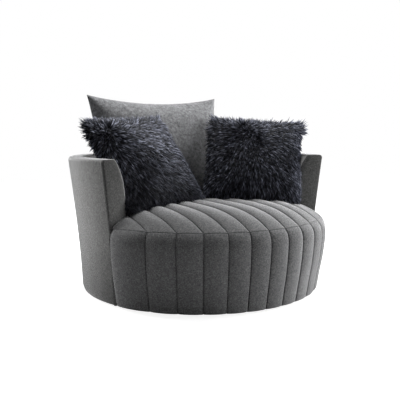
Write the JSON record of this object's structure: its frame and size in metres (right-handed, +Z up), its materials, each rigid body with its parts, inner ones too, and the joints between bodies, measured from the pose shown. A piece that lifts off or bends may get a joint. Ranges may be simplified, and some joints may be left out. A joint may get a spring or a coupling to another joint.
{
  "type": "round swivel cuddle chair",
  "caption": "Round upholstered swivel chair: a drum seat with sewn channels in a low wrap-around back, with a loose back cushion and square fur pillows.",
  "frame": {"origin": "on the floor, on the swivel axis, under the middle of the drum", "axes": "+Z up, the front of the seat faces -Y, +X to the right of someone who looks at the chair from the front"},
  "size_m": [1.3186, 1.3089, 0.9855],
  "materials": {
    "cover_weave": "grey flecked chenille weave, matt",
    "seat_weave": "grey flecked chenille weave, matt",
    "cushion_weave": "grey chenille weave, matt",
    "fur": "long-pile fake fur, charcoal",
    "plywood": "raw plywood and softwood",
    "steel": "zinc-plated steel",
    "nylon": "black nylon",
    "webbing": "elasticated webbing",
    "foam": "polyurethane foam",
    "lining": "black spunbonded lining"
  },
  "bodies": {
    "base": {"plinth_disc": "plywood", "glide_1": "nylon", "glide_2": "nylon", "glide_3": "nylon", "glide_4": "nylon", "glide_5": "nylon", "glide_6": "nylon", "lower_swivel_plate": "steel", "plinth_screw_1": "steel", "plinth_screw_2": "steel", "plinth_screw_3": "steel", "plinth_screw_4": "steel", "pivot_bolt": "steel", "pivot_nut": "steel", "ball_cage": "steel"},
    "chair": {"upper_swivel_plate": "steel", "rail_bolt_1": "steel", "rail_bolt_2": "steel", "rail_bolt_3": "steel", "rail_bolt_4": "steel", "swivel_rail_left": "plywood", "swivel_rail_right": "plywood", "bottom_ring": "plywood", "seat_ring": "plywood", "seat_post_1": "plywood", "seat_post_2": "plywood", "seat_post_3": "plywood", "seat_post_4": "plywood", "seat_post_5": "plywood", "back_upright_1": "plywood", "back_upright_2": "plywood", "back_upright_3": "plywood", "back_upright_4": "plywood", "back_upright_5": "plywood", "back_upright_6": "plywood", "back_upright_7": "plywood", "top_rail": "plywood", "long_strap_1": "webbing", "long_strap_2": "webbing", "long_strap_3": "webbing", "long_strap_4": "webbing", "long_strap_5": "webbing", "cross_strap_1": "webbing", "cross_strap_2": "webbing", "cross_strap_3": "webbing", "cross_strap_4": "webbing", "seat_foam": "foam", "seat_deck": "seat_weave", "front_border": "cover_weave", "front_board": "plywood", "outside_board": "plywood", "outside_cover": "cover_weave", "inside_back_pad": "cover_weave", "arm_facing_left": "cover_weave", "arm_facing_right": "cover_weave", "dust_cover": "lining"},
    "back_cushion": {"back_cushion": "cushion_weave"},
    "left_fur_pillow": {"left_fur_pillow": "fur"},
    "right_fur_pillow": {"right_fur_pillow": "fur"}
  },
  "joints": [
    {"name": "seat_swivel", "type": "hinge", "parent": "base", "child": "chair", "pos_m": [0, 0, 0.03], "axis": [0, 0, 1], "continuous": true},
    {"name": "back_cushion_lift", "type": "slide", "parent": "chair", "child": "back_cushion", "axis": [0, 0.3, 0.9539], "range_m": [0, 0.4]},
    {"name": "left_pillow_lift", "type": "slide", "parent": "chair", "child": "left_fur_pillow", "axis": [0.12, -0.5957, 0.7942], "range_m": [0, 0.3]},
    {"name": "right_pillow_lift", "type": "slide", "parent": "chair", "child": "right_fur_pillow", "axis": [0, -0.6, 0.8], "range_m": [0, 0.3]}
  ]
}
